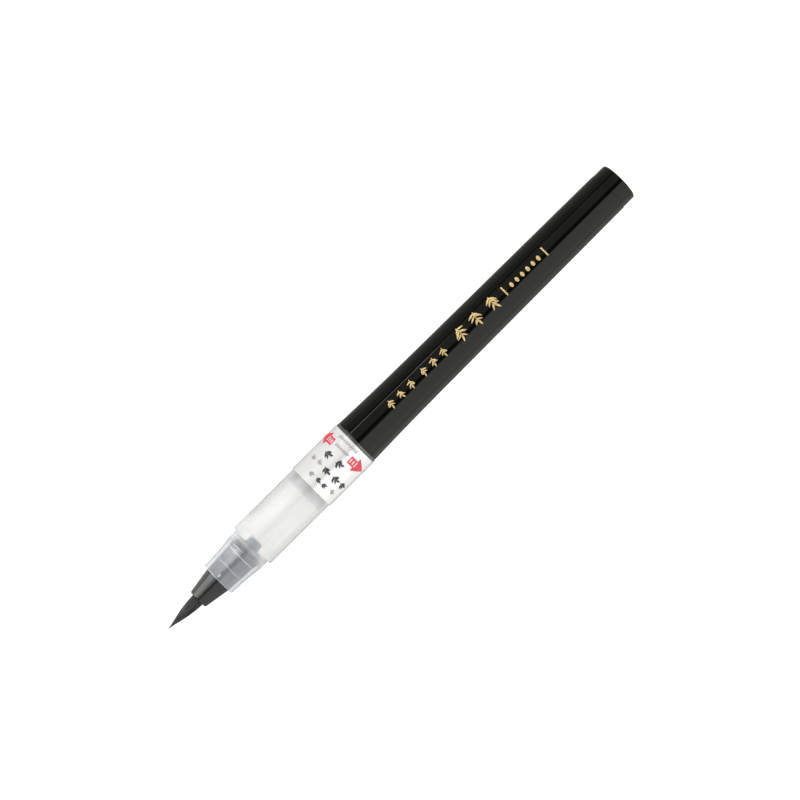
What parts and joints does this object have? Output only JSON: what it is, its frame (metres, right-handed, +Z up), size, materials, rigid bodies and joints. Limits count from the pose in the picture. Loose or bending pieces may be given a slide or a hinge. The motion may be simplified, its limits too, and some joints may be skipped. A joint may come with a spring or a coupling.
{
  "type": "brush pen",
  "caption": "Slim brush pen with a black bristle tip in a dark cone, a clear collar, a frosted grip sleeve with a label, and a glossy black barrel that unscrews from it.",
  "frame": {"origin": "on the pen's axis, halfway between the point of the brush and the tail", "axes": "+X along the pen from the brush to the tail, +Z up with the label's seam underneath, +Y to the side"},
  "size_m": [0.1574, 0.013, 0.013],
  "materials": {
    "bristles": "fine black synthetic filaments",
    "fused_nylon": "melted black filament ends",
    "satin_dark_plastic": "satin moulded dark grey",
    "blue_grey_plastic": "moulded blue-grey",
    "white_plastic": "moulded white",
    "clear_plastic": "clear, slightly milky",
    "frosted_plastic": "frosted, milky",
    "pale_grey_plastic": "moulded pale grey",
    "fibre": "bonded fibre soaked with ink",
    "label_film": "printed white film",
    "grey_ring_plastic": "translucent grey",
    "gloss_black_plastic": "polished moulded black with gold foil stamping",
    "cartridge_plastic": "translucent",
    "ball_plastic": "polished",
    "ink": "black ink"
  },
  "bodies": {
    "grip_section": {"tuft_root": "bristles", "tuft_base": "fused_nylon", "nib_cone": "satin_dark_plastic", "tuft_retainer": "blue_grey_plastic", "feed_needle": "white_plastic", "collar": "clear_plastic", "sleeve": "frosted_plastic", "collector_tube": "white_plastic", "comb_feed": "white_plastic", "nipple": "pale_grey_plastic", "wick": "fibre", "label": "label_film"},
    "brush_tip": {"bristle_tip": "bristles"},
    "cartridge": {"cartridge_mouth": "white_plastic", "cartridge_tube": "cartridge_plastic", "seal_ball": "ball_plastic", "ink_charge": "ink"},
    "joint_ring": {"joint_ring": "grey_ring_plastic"},
    "barrel": {"barrel": "gloss_black_plastic", "tail_plug": "gloss_black_plastic"}
  },
  "joints": [
    {"name": "brush_bend", "type": "hinge", "parent": "grip_section", "child": "brush_tip", "pos_m": [-0.06765, 0, 0], "axis": [0, 0, 1], "range_deg": [-30, 30], "stiffness_Nm_per_rad": 0.001},
    {"name": "cartridge_pull", "type": "slide", "parent": "grip_section", "child": "cartridge", "axis": [1, 0, 0], "range_m": [0, 0.006]},
    {"name": "ring_travel", "type": "slide", "parent": "grip_section", "child": "joint_ring", "axis": [1, 0, 0], "range_m": [0, 0.01201]},
    {"name": "barrel_unscrew", "type": "hinge", "parent": "joint_ring", "child": "barrel", "pos_m": [-0.013, 0, 0], "axis": [1, 0, 0], "range_deg": [0, 1080]}
  ],
  "couplings": [
    {"joint": "ring_travel", "follows": "barrel_unscrew", "m_per_rad": 0.00063662}
  ]
}
